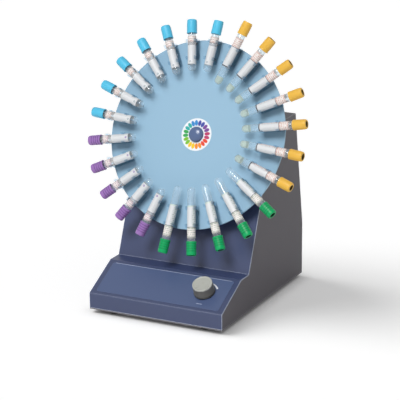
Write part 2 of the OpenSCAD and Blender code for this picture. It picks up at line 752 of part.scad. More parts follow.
module jaw_profile() {
  open_half = 52;
  flare = 40;
  lip_len = 3.6;
  lip_t = jaw_t * 0.75;
  reach = 4 * jaw_r;
  r = jaw_r + jaw_t / 2;
  difference() {
    circle(jaw_r + jaw_t);
    circle(jaw_r);
    polygon([[0, 0], [reach * sin(open_half), reach * cos(open_half)], [0, 2 * reach],
             [-reach * sin(open_half), reach * cos(open_half)]]);
  }
  for (s = [-1, 1]) translate([s * r * sin(open_half), r * cos(open_half)])
    rotate(-s * flare) translate([-lip_t / 2, -jaw_t / 2]) square([lip_t, lip_len]);
}
// Clip with a foot plate, a rib and two springy jaws, moulded in one piece
module tube_clip() {
  rib_top = tube_lift - jaw_r - jaw_t / 2;
  difference() {
    union() {
      translate([clip_from, -clip_base_w / 2, 0]) cube([clip_to - clip_from, clip_base_w, clip_base_t]);
      translate([clip_from + 2, -clip_rib_w / 2, 0])
        cube([clip_to - clip_from - 4, clip_rib_w, rib_top - 1]);
      for (x = [jaw_near, jaw_far]) {
        translate([x, 0, tube_lift]) rotate([90, 0, 90]) linear_extrude(jaw_w) jaw_profile();
        translate([x, 0, 0]) rotate([90, 0, 90]) linear_extrude(jaw_w)
          polygon([[-clip_base_w / 2, clip_base_t / 2], [clip_base_w / 2, clip_base_t / 2],
                   [clip_neck_w / 2, rib_top], [-clip_neck_w / 2, rib_top]]);
      }
    }
    for (x = clip_screws_at) translate([x, 0, 0]) bar(clip_screw_r + fit, -1, clip_screw_grip + 0.5);
  }
}
module tube_clips() color("#dfe9f2", 0.6) on_disc() for (k = [0:tube_count - 1]) at_tube(k) tube_clip();
module clip_screws() color("silver") on_disc() for (k = [0:tube_count - 1], x = clip_screws_at)
  at_tube(k) translate([x, 0, -disc_t]) mirror([0, 0, 1])
    screw(clip_screw_r, 2.8, 1.8, disc_t + clip_screw_grip);

// Round-bottomed tube standing on z = 0
module tube(length) {
  steps = 10;
  rotate_extrude() polygon(concat(
    [for (i = [0:steps]) let (a = -90 + 90 * i / steps) [tube_r * cos(a), tube_r + tube_r * sin(a)]],
    [[tube_r, length - 0.4], [tube_r - 0.4, length], [bore_r, length]],
    [for (i = [steps:-1:0]) let (a = -90 + 90 * i / steps) [bore_r * cos(a), tube_r + bore_r * sin(a)]]));
}
module short_tubes() color("#e8f2f5", 0.4) on_disc()
  for (k = SHORT) along_tube(k) translate([0, 0, short_start]) tube(short_len);
module long_tubes() color("#e8f2f5", 0.4) on_disc()
  for (k = LONG) along_tube(k) translate([0, 0, long_start]) tube(long_len);

// Paper sleeve that leaves a narrow window on the side towards the disc
module label(from, to) {
  window = 30;
  rotate(window / 2) rotate_extrude(angle = 360 - window)
    translate([tube_r, from]) square([label_t, to - from]);
}
short_mouth = short_start + short_len;
long_mouth = long_start + long_len;
short_label_from = short_start + short_label_in;
long_label_from = long_start + long_label_in;
module short_labels() color("white") on_disc() for (k = SHORT) along_tube(k)
  label(short_label_from, short_mouth - cap_under - label_gap_short);
module long_labels() color("white") on_disc() for (k = LONG) along_tube(k)
  label(long_label_from, long_mouth - cap_under - label_gap_long);

// Clot-separating gel that fills the round end of the yellow-capped tubes
module separator_gel() color("#e9e6cf") on_disc() for (k = YELLOW) along_tube(k)
  translate([0, 0, long_start]) {
    steps = 8;
    r = bore_r - fit;
    rotate_extrude() polygon(concat(
      [for (i = [0:steps]) let (a = -90 + 90 * i / steps) [r * cos(a), tube_r + r * sin(a)]],
      [[r, gel_len], [0, gel_len]]));
  }

// Rubber stopper: a plug in the tube, a head on its mouth and a dimple on top
module stopper() {
  head_t = 3.2;
  r = bore_r - fit;
  rotate_extrude() polygon([
    [0, -stopper_grip + 3], [r - 2, -stopper_grip + 3], [r - 1.6, -stopper_grip],
    [r - 0.4, -stopper_grip], [r, -stopper_grip + 1], [r, 0], [tube_r - 0.2, 0],
    [tube_r - 0.2, head_t - 0.4], [tube_r - 0.6, head_t], [2.4, head_t], [1.6, head_t - 0.8],
    [0, head_t - 0.8]]);
}
module tube_stoppers() color("#5a5550") on_disc() {
  for (k = SHORT) along_tube(k) translate([0, 0, short_mouth]) stopper();
  for (k = LONG) along_tube(k) translate([0, 0, long_mouth]) stopper();
}

// Shield cap, drawn from the tube's mouth: skirt below it, collar and open well above
module cap() {
  inner_r = tube_r + 0.25;
  head_t = 3.2;
  top_r = cap_r - 0.7;
  well_r = 4.4;
  rotate_extrude() polygon([
    [inner_r, -cap_under], [cap_r - 0.3, -cap_under], [cap_r, -cap_under + 0.4],
    [cap_r, -cap_under + 1.6], [cap_r - 0.25, -cap_under + 1.9],
    [cap_r - 0.2, 0], [top_r + 0.1, cap_over - 1.6], [top_r - 0.35, cap_over - 0.4],
    [top_r - 1, cap_over], [well_r + 0.3, cap_over], [well_r, cap_over - 0.4],
    [well_r, head_t + fit], [inner_r, head_t + fit]]);
}
module caps(numbers, mouth) on_disc() for (k = numbers) along_tube(k) translate([0, 0, mouth]) cap();
module yellow_caps() color("#ebb43c") caps(YELLOW, long_mouth);
module green_caps() color("#13a160") caps(GREEN, long_mouth);
module blue_caps() color("#4fb9dc") caps(BLUE, short_mouth);
module purple_caps() color("#9069a7") caps(PURPLE, short_mouth);

// ---------- wiring ----------

lead_sides = 8;
lead_steps = 16;
block_y = board_at[1] + terminal_y;
block_z = base_t + standoff_h + board[2] + terminal_z;
function block_mouth(i) = [board_at[0] + TERMINALS[i], block_y - lead_depth, block_z];
function slope_point(x, u, n) =
  [x, u * cos(slope_angle) - n * sin(slope_angle), lip_h + u * sin(slope_angle) + n * cos(slope_angle)];
function disc_point(z) = [0, disc_at[0] + z * face_n[0], disc_at[1] + z * face_n[1]];

// Each pair of leads: its lug, a point that steers it away, one that steers it to the
// board, and the point from which it runs straight into its terminal block
LEADS = [
  [disc_point(motor_back - 2.5 - lead_gap), disc_point(motor_back - 27),
   block_mouth(0) - [0, 30, 0], block_mouth(0)],
  [slope_point(knob_x, knob_up - pot_r - 5 - lead_gap, 2.4 - sheet_t - pot_len),
   slope_point(knob_x, knob_up - pot_r - 13, 2.4 - sheet_t - pot_len),
   block_mouth(1) - [0, 65, 0], block_mouth(1)],
  [[inlet_x, housing_d - inlet_len - 5 - lead_gap, rear_port_h],
   [inlet_x, housing_d - inlet_len - 85, rear_port_h + 15],
   block_mouth(2) - [0, 40, 0], block_mouth(2)],
  [[switch_x, housing_d - switch_depth - 7 - lead_gap, rear_port_h],
   [switch_x, housing_d - switch_depth - 84, rear_port_h],
   block_mouth(3) - [0, 45, 0], block_mouth(3)]
];
function bezier(p, t) =
  pow(1 - t, 3) * p[0] + 3 * t * pow(1 - t, 2) * p[1] + 3 * t * t * (1 - t) * p[2] + pow(t, 3) * p[3];
function bezier_way(p, t) =
  pow(1 - t, 2) * (p[1] - p[0]) + 2 * t * (1 - t) * (p[2] - p[1]) + t * t * (p[3] - p[2]);
function side_of(n, d) = unit(n - (n * d) * d);
// Side vectors carried along the route from one ring to the next, so the tube never twists
function sides(dirs, i, n) =
  i == len(dirs) ? [] : let (m = side_of(n, dirs[i])) concat([m], sides(dirs, i + 1, m));
module lead(p) {
  at = concat([for (i = [0:lead_steps]) bezier(p, i / lead_steps)], [p[3] + [0, 2 * lead_depth, 0]]);
  dirs = concat([for (i = [0:lead_steps]) unit(bezier_way(p, i / lead_steps))], [[0, 1, 0]]);
  side = sides(dirs, 0, [0.9, 0.1, 0.42]);
  last = len(at) - 1;
  rings = [for (i = [0:last], k = [0:lead_sides - 1]) let (a = 360 * k / lead_sides)
    at[i] + lead_r * (cos(a) * side[i] + sin(a) * cross(dirs[i], side[i]))];
  polyhedron(rings, concat(
    [[for (k = [0:lead_sides - 1]) k]],
    [for (i = [0:last - 1], k = [0:lead_sides - 1])
      let (a = i * lead_sides, next = (k + 1) % lead_sides)
      [a + k, a + lead_sides + k, a + lead_sides + next, a + next]],
    [[for (k = [lead_sides - 1:-1:0]) last * lead_sides + k]]));
}
module wire_harness() color("firebrick") for (p = LEADS) lead(p);

// ---------- assembly ----------

on_bench() front_panel();
on_bench() rear_cover();
on_bench() side_panel_left();
on_bench() side_panel_right();
on_bench() base_plate();
on_bench() base_screws();
on_bench() rubber_feet();
on_bench() foot_screws();
on_bench() control_film();
on_bench() potentiometer();
on_bench() pot_washer();
on_bench() pot_nut();
on_bench() pot_shaft();
on_bench() speed_knob();
on_bench() control_board();
on_bench() board_components();
on_bench() board_standoffs();
on_bench() board_screws();
on_bench() power_inlet();
on_bench() inlet_nut();
on_bench() switch_body();
on_bench() power_rocker();
on_bench() wire_harness();
on_bench() bearing_housing();
on_bench() bearing_screws();
on_bench() bearing_outer_rings();
on_bench() bearing_inner_rings();
on_bench() bracket_posts();
on_bench() post_screws();
on_bench() motor_bracket();
on_bench() gearbox();
on_bench() gearbox_screws();
on_bench() motor();
on_bench() gearbox_shaft();
on_bench() shaft_coupling();
on_bench() grub_screws();
on_bench() spindle();
on_bench() hub_flange();
on_bench() drive_pins();
on_bench() disc();
on_bench() hub_washer();
on_bench() hub_screw();
on_bench() hub_cap();
on_bench() centre_sticker();
on_bench() tube_clips();
on_bench() clip_screws();
on_bench() short_tubes();
on_bench() long_tubes();
on_bench() short_labels();
on_bench() long_labels();
on_bench() separator_gel();
on_bench() tube_stoppers();
on_bench() yellow_caps();
on_bench() blue_caps();
on_bench() purple_caps();
on_bench() green_caps();
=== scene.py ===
import json
import math

import bpy
from mathutils import Matrix, Quaternion, Vector


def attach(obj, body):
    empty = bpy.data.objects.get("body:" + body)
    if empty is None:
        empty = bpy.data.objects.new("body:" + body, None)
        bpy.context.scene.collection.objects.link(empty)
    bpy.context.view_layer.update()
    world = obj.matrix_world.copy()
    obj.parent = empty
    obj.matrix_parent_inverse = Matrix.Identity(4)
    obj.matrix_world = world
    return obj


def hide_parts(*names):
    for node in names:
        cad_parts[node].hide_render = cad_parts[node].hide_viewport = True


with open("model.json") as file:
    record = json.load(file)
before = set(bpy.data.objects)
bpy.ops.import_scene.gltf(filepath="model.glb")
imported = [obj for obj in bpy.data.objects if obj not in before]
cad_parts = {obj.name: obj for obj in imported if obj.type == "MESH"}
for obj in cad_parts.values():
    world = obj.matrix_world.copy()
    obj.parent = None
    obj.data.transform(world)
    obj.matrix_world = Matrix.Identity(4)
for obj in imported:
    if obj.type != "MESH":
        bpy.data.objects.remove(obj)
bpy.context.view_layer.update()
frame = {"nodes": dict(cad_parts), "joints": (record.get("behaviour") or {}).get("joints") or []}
bpy.ops.object.select_all(action="DESELECT")
bpy.context.scene.view_settings.view_transform = "Standard"

# ---------- camera ----------
# A long lens nearly three metres from the bench rotator, to the right of its front and
# looking down on it, so that the panel's folds stay nearly parallel.
camera_at = Vector((1.25610, -2.46843, 1.00358))
camera_aim = Vector((0.00206, 0.00328, 0.15653))
camera_roll = math.radians(-0.477)
bpy.ops.object.camera_add(location=camera_at)
camera = bpy.context.object
camera.name = "camera"
camera.data.sensor_width = 36
camera.data.lens = 164.586
camera.data.clip_end = 50
camera.rotation_mode = "QUATERNION"
aimed = (camera_at - camera_aim).to_track_quat("Z", "Y")
camera.rotation_quaternion = aimed @ Quaternion((0, 0, 1), camera_roll)
bpy.context.scene.camera = camera


# ---------- bench and light ----------
# A white laboratory bench that runs on into a white wall. A soft lamp over the front
# lights the rotator, a broad one from the left lights the bench, and the room is pale.
def add_node(tree, kind, inputs=None, **settings):
    """Adds a shader node; an input is a value, or the output socket that feeds it."""
    made = tree.nodes.new(kind)
    for name, value in settings.items():
        setattr(made, name, value)
    for name, value in (inputs or {}).items():
        if isinstance(value, bpy.types.NodeSocket):
            tree.links.new(value, made.inputs[name])
        else:
            made.inputs[name].default_value = value
    return made


def compute(tree, operation, first, second=0.0, clamp=False):
    """One Math node; returns its output."""
    made = add_node(
        tree, "ShaderNodeMath", {0: first, 1: second}, operation=operation, use_clamp=clamp
    )
    return made.outputs[0]


def times(tree, first, second, clamp=False):
    """The product of two values, as a Math node's output."""
    return compute(tree, "MULTIPLY", first, second, clamp)


def blank_material(name):
    """A new material without any nodes, and its node tree."""
    material = bpy.data.materials.new(name)
    material.use_nodes = True
    material.node_tree.nodes.clear()
    return material, material.node_tree


bench_size = 30
bench_tone, bench_glow, glow_shade_reach = 0.82, 0.4, 0.025
wall_light, ceiling_light = 0.08, 0.36

bpy.ops.mesh.primitive_plane_add(size=bench_size)
bench = bpy.context.object
bench.name = "bench"
bench_white, tree = blank_material("white bench")
diffuse = add_node(tree, "ShaderNodeBsdfDiffuse", {"Color": (*[bench_tone] * 3, 1)})
# Painted shade: the bench glows a little, and its glow is dimmed in the gap under the
# housing and close to its sides
painted_shade_ao = add_node(tree, "ShaderNodeAmbientOcclusion", {"Distance": glow_shade_reach})
glow_level = times(tree, painted_shade_ao.outputs["AO"], bench_glow)
glow = add_node(tree, "ShaderNodeEmission", {"Strength": glow_level})
both = add_node(tree, "ShaderNodeAddShader", {0: diffuse.outputs[0], 1: glow.outputs[0]})
add_node(tree, "ShaderNodeOutputMaterial", {"Surface": both.outputs[0]})
bench.data.materials.append(bench_white)

room = bpy.data.worlds.new("pale room")
room.use_nodes = True
tree = room.node_tree
tree.nodes.clear()
# White to the eye, also by way of a mirror or glass. Where it lights a surface it is
# dimmer, and its ceiling gives more light than its walls.
bounces = add_node(tree, "ShaderNodeLightPath").outputs["Diffuse Depth"]
lights_surface = compute(tree, "GREATER_THAN", bounces, 0.5)
looked_along = add_node(tree, "ShaderNodeTexCoord").outputs["Generated"]
height = add_node(tree, "ShaderNodeSeparateXYZ", {0: looked_along}).outputs["Z"]
dim_room = add_node(
    tree, "ShaderNodeMapRange", {"Value": height, "To Min": wall_light, "To Max": ceiling_light}
)
room_level = add_node(
    tree,
    "ShaderNodeMix",
    {"Factor": lights_surface, "A": 1.0, "B": dim_room.outputs["Result"]},
    data_type="FLOAT",
)
room_shade = add_node(tree, "ShaderNodeBackground", {"Strength": room_level.outputs["Result"]})
add_node(tree, "ShaderNodeOutputWorld", {"Surface": room_shade.outputs[0]})
bpy.context.scene.world = room

# Each lamp: where it shines from, strength, spread, and whether it lights the bench alone
for name, shines_from, strength, spread, on_bench in (
    ("front lamp", Vector((0.02, -0.733, 0.845)), 2.55, 0.42, False),
    ("bench lamp", Vector((-0.92, -0.25, 0.92)), 2.4, 0.88, True),
):
    bpy.ops.object.light_add(type="SUN", location=shines_from)
    lamp = bpy.context.object
    lamp.name = name
    lamp.rotation_mode = "QUATERNION"
    lamp.rotation_quaternion = shines_from.to_track_quat("Z", "Y")
    lamp.data.energy = strength
    lamp.data.angle = spread
    lamp.visible_transmission = False
    lit = bpy.data.collections.new(name + " reach")
    lit.objects.link(bench)
    lit.collection_objects[0].light_linking.link_state = "INCLUDE" if on_bench else "EXCLUDE"
    lamp.light_linking.receiver_collection = lit

# ---------- folded housing ----------
# Front panel, rear cover, two side panels and a base plate, cut and folded from
# 1.5 mm steel sheet. The front is powder coated slate blue and the rest grey; a
# painted highlight makes the folds and cut edges lighter.
MM = 0.001


def paint_colour(code):
    """A written sRGB code such as 5a6478 as linear red, green, blue and alpha."""
    levels = [int(code[i : i + 2], 16) / 255 for i in (0, 2, 4)]
    return (*[c / 12.92 if c < 0.04045 else ((c + 0.055) / 1.055) ** 2.4 for c in levels], 1)


def blended(tree, amount, first, second):
    """One colour Mix node; returns its output."""
    colours = {0: amount, 6: first, 7: second}
    return add_node(tree, "ShaderNodeMix", colours, data_type="RGBA").outputs[2]


def new_group(name, inputs, outputs):
    """A shader node group; inputs are (name, kind, default) and outputs (name, kind)."""
    group = bpy.data.node_groups.new(name, "ShaderNodeTree")
    outside = group.interface
    for label, kind, value in inputs:
        socket = outside.new_socket(name=label, in_out="INPUT", socket_type="NodeSocket" + kind)
        socket.default_value = value
    for label, kind in outputs:
        outside.new_socket(name=label, in_out="OUTPUT", socket_type="NodeSocket" + kind)
    return group, add_node(group, "NodeGroupInput").outputs, add_node(group, "NodeGroupOutput")


def place_group(tree, group, inputs):
    """A node group placed in a material; returns its outputs."""
    return add_node(tree, "ShaderNodeGroup", inputs, node_tree=group).outputs


# Fine texture and slow drift of shade that every made surface has
patches_per_metre = 16.0
surface_grain, given, result = new_group(
    "surface grain",
    [
        ("Colour", "Color", (0.5, 0.5, 0.5, 1)),
        ("Shade Drift", "Float", 0.06),
        ("Grains per Metre", "Float", 900.0),
        ("Stretch", "Vector", (1, 1, 1)),
        ("Roughness", "Float", 0.4),
        ("Roughness Drift", "Float", 0.1),
    ],
    [("Colour", "Color"), ("Roughness", "Float"), ("Height", "Float")],
)
place = add_node(surface_grain, "ShaderNodeTexCoord").outputs["Object"]
drawn = add_node(
    surface_grain, "ShaderNodeVectorMath", {0: place, 1: given["Stretch"]}, operation="MULTIPLY"
).outputs[0]
fine = add_node(
    surface_grain,
    "ShaderNodeTexNoise",
    {"Vector": drawn, "Scale": given["Grains per Metre"], "Detail": 3.0, "Roughness": 0.6},
).outputs["Fac"]
broad = add_node(
    surface_grain,
    "ShaderNodeTexNoise",
    {"Vector": place, "Scale": patches_per_metre, "Detail": 2.0},
).outputs["Fac"]
middle = times(surface_grain, compute(surface_grain, "ADD", fine, broad), 0.5)
drift = compute(surface_grain, "SUBTRACT", middle, 0.5)
level = compute(surface_grain, "ADD", times(surface_grain, drift, given["Shade Drift"]), 1.0)
shaded = add_node(
    surface_grain, "ShaderNodeHueSaturation", {"Value": level, "Color": given["Colour"]}
).outputs[0]
rough_drift = times(surface_grain, drift, given["Roughness Drift"])
rough = compute(surface_grain, "ADD", given["Roughness"], rough_drift, clamp=True)
for label, socket in (("Colour", shaded), ("Roughness", rough), ("Height", fine)):
    surface_grain.links.new(socket, result.inputs[label])

# Painted highlight along the sharp edges and folds of a body: an edge is where
# rounding it off would turn the surface by more than about four degrees
flat_match, highlight_gain = 0.997, 3.2
edge_highlight, given, result = new_group(
    "painted edge highlight",
    [
        ("Colour", "Color", (0.5, 0.5, 0.5, 1)),
        ("Edge Colour", "Color", (0.7, 0.7, 0.7, 1)),
        ("Width", "Float", 0.001),
        ("Amount", "Float", 0.5),
    ],
    [("Colour", "Color")],
)
rounded = add_node(edge_highlight, "ShaderNodeBevel", {"Radius": given["Width"]}, samples=6).outputs[0]
true_normal = add_node(edge_highlight, "ShaderNodeNewGeometry").outputs["Normal"]
match = add_node(
    edge_highlight, "ShaderNodeVectorMath", {0: rounded, 1: true_normal}, operation="DOT_PRODUCT"
).outputs["Value"]
bend = compute(edge_highlight, "SUBTRACT", flat_match, match, clamp=True)
lit_edge = times(edge_highlight, compute(edge_highlight, "POWER", bend, 0.5), highlight_gain, clamp=True)
mask = times(edge_highlight, lit_edge, given["Amount"])
highlighted = blended(edge_highlight, mask, given["Colour"], given["Edge Colour"])
edge_highlight.links.new(highlighted, result.inputs["Colour"])


def coated(
    name,
    colour,
    roughness,
    grains=900.0,
    depth=0.02,
    shade=0.08,
    spread=0.15,
    metallic=0.0,
    stretch=(1, 1, 1),
    edge=None,
    sockets=None,
    lets_light=None,
):
    """A material in a colour code or, without one, in the ink of the mesh. It has grains
    per metre of a depth in mm, and shade and spread say how far its shade and roughness
    drift; edge is (colour code, width in mm, amount) of a painted highlight along its
    edges, and lets_light the share of lamp light that a clear one passes at each surface."""
    material, tree = blank_material(name)
    if colour:
        base = paint_colour(colour)
    else:
        base = add_node(tree, "ShaderNodeAttribute", attribute_name="ink").outputs["Color"]
    grain = place_group(
        tree,
        surface_grain,
        {
            "Colour": base,
            "Shade Drift": shade,
            "Grains per Metre": grains,
            "Stretch": stretch,
            "Roughness": roughness,
            "Roughness Drift": spread,
        },
    )
    bump = add_node(
        tree, "ShaderNodeBump", {"Height": grain["Height"], "Strength": 0.5, "Distance": depth * MM}
    )
    base = grain["Colour"]
    if edge:
        highlight_code, width, amount = edge
        base = place_group(
            tree,
            edge_highlight,
            {
                "Colour": base,
                "Edge Colour": paint_colour(highlight_code),
                "Width": width * MM,
                "Amount": amount,
            },
        )["Colour"]
    shader = add_node(
        tree,
        "ShaderNodeBsdfPrincipled",
        {
            "Base Color": base,
            "Roughness": grain["Roughness"],
            "Normal": bump.outputs[0],
            "Metallic": metallic,
            **(sockets or {}),
        },
    ).outputs[0]
    if lets_light:
        passing = {"Color": (*[lets_light] * 3, 1)}
        open_way = add_node(tree, "ShaderNodeBsdfTransparent", passing).outputs[0]
        rays = add_node(tree, "ShaderNodeLightPath").outputs["Is Shadow Ray"]
        shader = add_node(tree, "ShaderNodeMixShader", {0: rays, 1: shader, 2: open_way}).outputs[0]
    add_node(tree, "ShaderNodeOutputMaterial", {"Surface": shader})
    return material


def finish_nodes(material, *names):
    """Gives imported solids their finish."""
    for name in names:
        for slot in frame["nodes"][name].material_slots:
            slot.material = material


slate_coat = coated(
    "slate powder coat", "333e61", 0.36, grains=1100, depth=0.05, shade=0.14,
    edge=("b0b8cb", 1.3, 1.0), sockets={"Specular IOR Level": 0.65},
)
grey_coat = coated(
    "grey powder coat", "5a575d", 0.5, grains=1100, depth=0.05, shade=0.14,
    edge=("9a9ba0", 1.1, 0.7), sockets={"Specular IOR Level": 0.25},
)
finish_nodes(slate_coat, "front_panel")
finish_nodes(grey_coat, "rear_cover", "side_panel_left", "side_panel_right", "base_plate")

# ---------- feet and base screws ----------
# Four moulded rubber feet, each with a recess for its screw, and zinc-plated
# cross-recessed screws that hold the shell and the feet to the base plate.
foot_rubber = coated("foot rubber", "242424", 0.72, grains=500, depth=0.06, shade=0.25)
zinc_plate = coated(
    "zinc plate", "b9bcc0", 0.32, grains=700, depth=0.01, shade=0.2, spread=0.3, metallic=1.0
)
finish_nodes(foot_rubber, "rubber_feet")
finish_nodes(zinc_plate, "base_screws", "foot_screws")


# ---------- control panel overlay ----------
# A polyester film bonded to the sloping panel, satin in front and screen printed with
# a tapering speed scale round the knob. A pale line along its upper edge and its
# lighter rim are painted highlights.
def joint_frame(name, outward):
    """The plane square to a joint's axis, with X across the housing and Z outwards."""
    joint = next(j for j in frame["joints"] if j["name"] == name)
    out = Vector(joint["axis"]).normalized() * outward
    across = Vector((1, 0, 0))
    facing = Matrix((across, out.cross(across), out)).transposed().to_4x4()
    return Matrix.Translation(joint["pos_m"]) @ facing


def only(piece):
    """Makes one object the whole selection."""
    bpy.ops.object.select_all(action="DESELECT")
    piece.select_set(True)
    bpy.context.view_layer.objects.active = piece


def seat(piece, matrix):
    """Puts a piece modelled at the origin in its place, and keeps the place in its mesh."""
    only(piece)
    piece.matrix_world = matrix
    bpy.ops.object.transform_apply(location=True, rotation=True, scale=True)


def pick(piece, wanted):
    """In edit mode, selects the vertices for which wanted(position in mm) holds."""
    bpy.ops.mesh.select_all(action="DESELECT")
    bpy.ops.mesh.select_mode(type="VERT")
    bpy.ops.object.mode_set(mode="OBJECT")
    for vertex in piece.data.vertices:
        vertex.select = wanted(vertex.co / MM)
    bpy.ops.object.mode_set(mode="EDIT")


def extrude(height):
    """In edit mode, extrudes what is selected upwards, by a height in mm."""
    bpy.ops.mesh.extrude_region_move(TRANSFORM_OT_translate={"value": (0, 0, height * MM)})


def swing(angle):
    """In edit mode, turns what is selected anticlockwise about the origin."""
    bpy.ops.transform.rotate(
        value=-angle, orient_axis="Z", orient_type="GLOBAL", center_override=(0, 0, 0)
    )


def face_outwards():
    """Turns every face of the mesh outwards, and leaves edit mode."""
    bpy.ops.mesh.select_all(action="SELECT")
    bpy.ops.mesh.normals_make_consistent(inside=False)
    bpy.ops.object.mode_set(mode="OBJECT")


def raise_flat(height):
    """In edit mode, gives a flat outline its height in mm, and leaves edit mode."""
    bpy.ops.mesh.select_all(action="SELECT")
    extrude(height)
    face_outwards()


def fit_out(piece, name, material, body, slot, *replaced):
    """Names a finished piece, paints it and lets it ride on its body."""
    piece.name = name
    piece.data.name = name
    piece.data.materials.clear()
    piece.data.materials.append(material)
    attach(piece, body)
    if replaced:
        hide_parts(*replaced)


knob_frame = joint_frame("speed_knob_turn", -1)
# Film: thickness and half width, then its upper edge and its middle from the knob's axis
film_top, film_half_w = 0.4, 106
film_high, film_middle = 31.6, -69
print_t = 0.05

overlay_film = coated(
    "overlay film", "4a597d", 0.36, grains=1500, depth=0.012, shade=0.06,
    edge=("9aa3bd", 0.5, 0.35), sockets={"Specular IOR Level": 0.45},
)
finish_nodes(overlay_film, "control_film")
white_print = coated("white screen print", "eef0f4", 0.45, grains=2500, depth=0.005)
pale_print_and_highlight = coated("pale print and painted highlight", "b3bdd6", 0.45, grains=2500, depth=0.005)


def pale_bar(name, length, width, rounding, across, up):
    """A pale bar with rounded corners, in mm, its middle across and up from the knob."""
    bpy.ops.mesh.primitive_plane_add(size=1)
    bar = bpy.context.object
    bar.scale = (length * MM, width * MM, 1)
    bpy.ops.object.transform_apply(scale=True)
    bpy.ops.object.mode_set(mode="EDIT")
    bpy.ops.mesh.select_all(action="SELECT")
    bpy.ops.mesh.bevel(offset=rounding * MM, segments=4, affect="VERTICES")
    raise_flat(print_t)
    seat(bar, knob_frame @ Matrix.Translation(Vector((across, up, film_top)) * MM))
    fit_out(bar, name, pale_print_and_highlight, "housing", "film")


# Painted highlight: a fine pale line along the film's upper edge, which ends a little
# way in from its sides
line_w, line_in = 0.6, 4
pale_bar(
    "film_edge_highlight", length=2 * (film_half_w - line_in), width=line_w, rounding=0.45 * line_w,
    across=film_middle, up=film_high - line_w,
)

# Speed scale: a flat ring sector that widens towards its fast end, in degrees round the
# knob from its wide end to its narrow one
scale_r, scale_wide, scale_narrow = 20, 2.7, 1.1
scale_from, scale_to, scale_steps = 32, 150, 36
step_angle = math.radians(scale_to - scale_from) / scale_steps
step_shrink = (scale_narrow / scale_wide) ** (1 / scale_steps)
bpy.ops.mesh.primitive_plane_add(size=1)
speed_scale = bpy.context.object
speed_scale.scale = (scale_wide * MM, MM, 1)
speed_scale.location = (scale_r * MM, 0, 0)
bpy.ops.object.transform_apply(location=True, scale=True)
bpy.ops.object.mode_set(mode="EDIT")
# One edge of the plane is kept, moved to the X axis and drawn round the knob
pick(speed_scale, lambda p: p.y > 0)
bpy.ops.mesh.delete(type="VERT")
bpy.ops.mesh.select_all(action="SELECT")
bpy.ops.transform.translate(value=(0, 0.5 * MM, 0))
swing(math.radians(scale_from))
for step in range(scale_steps):
    bpy.ops.mesh.extrude_region_move()
    swing(step_angle)
    angle = math.radians(scale_from) + step_angle * (step + 1)
    end = (scale_r * MM * math.cos(angle), scale_r * MM * math.sin(angle), 0)
    bpy.ops.transform.resize(value=(step_shrink, step_shrink, 1), center_override=end)
raise_flat(print_t)
seat(speed_scale, knob_frame @ Matrix.Translation((0, 0, film_top * MM)))
fit_out(speed_scale, "speed_scale", white_print, "housing", "film")

# A short dash under the knob
pale_bar("scale_dash", length=10, width=0.9, rounding=0.4, across=1.4, up=-24.9)

# ---------- speed knob ----------
# A hollow knob injection moulded in nylon, with a grey fluted grip over a foot ring
# and a pale ringed dish in its rim; it is pressed on the potentiometer's shaft. Painted
# shade blackens the foot ring, and a painted highlight lightens the edges.
crease = math.radians(40)


def turned(rings, sides):
    """A lathed body from (radius, height) rings in mm; one of radius 0 closes to a point."""
    open_rings = [ring for ring in rings if ring[0] > 0]
    last_r, last_z = open_rings[0]
    bpy.ops.mesh.primitive_circle_add(
        vertices=sides, radius=last_r * MM, location=(0, 0, last_z * MM)
    )
    body = bpy.context.object
    bpy.ops.object.transform_apply(location=True)
    bpy.ops.object.mode_set(mode="EDIT")
    bpy.ops.mesh.select_mode(type="VERT")
    bpy.ops.mesh.select_all(action="SELECT")
    for r, z in open_rings[1:]:
        extrude(z - last_z)
        growth = r / last_r
        bpy.ops.transform.resize(value=(growth, growth, 1), center_override=(0, 0, z * MM))
        last_r, last_z = r, z
    if rings[-1][0] == 0:
        extrude(rings[-1][1] - last_z)
        bpy.ops.mesh.merge(type="CENTER")
    if rings[0][0] == 0:
        bpy.ops.object.mode_set(mode="OBJECT")
        for vertex in body.data.vertices:
            vertex.select = vertex.index < sides
        bpy.ops.object.mode_set(mode="EDIT")
        extrude(rings[0][1] - open_rings[0][1])
        bpy.ops.mesh.merge(type="CENTER")
    bpy.ops.mesh.select_all(action="SELECT")
    bpy.ops.mesh.remove_doubles(threshold=1e-7)
    face_outwards()
    bpy.ops.object.shade_smooth_by_angle(angle=crease)
    return body


def from_axis(point):
    """How far a point lies from the upright axis."""
    return math.hypot(point.x, point.y)


def draw_in_flutes(piece, count, low, high, outside, shrink):
    """In edit mode, draws in one upright line of each flute of a round grip, between two
    heights and outside a radius in mm."""
    pitch = 2 * math.pi / count
    pick(
        piece,
        lambda p: low < p.z < high
        and from_axis(p) > outside
        and abs((math.atan2(p.y, p.x) / pitch + 0.5) % 1 - 0.5) < 0.1,
    )
    bpy.ops.transform.resize(value=(shrink, shrink, 1), center_override=(0, 0, 0))


def inked(piece, code, wanted=lambda position: True, attribute="ink"):
    """Writes a colour into a mesh where wanted(position in mm) holds."""
    inks = piece.data.color_attributes
    tint = inks.get(attribute) or inks.new(attribute, "FLOAT_COLOR", "POINT")
    for vertex, entry in zip(piece.data.vertices, tint.data):
        if wanted(vertex.co / MM):
            entry.color = paint_colour(code)


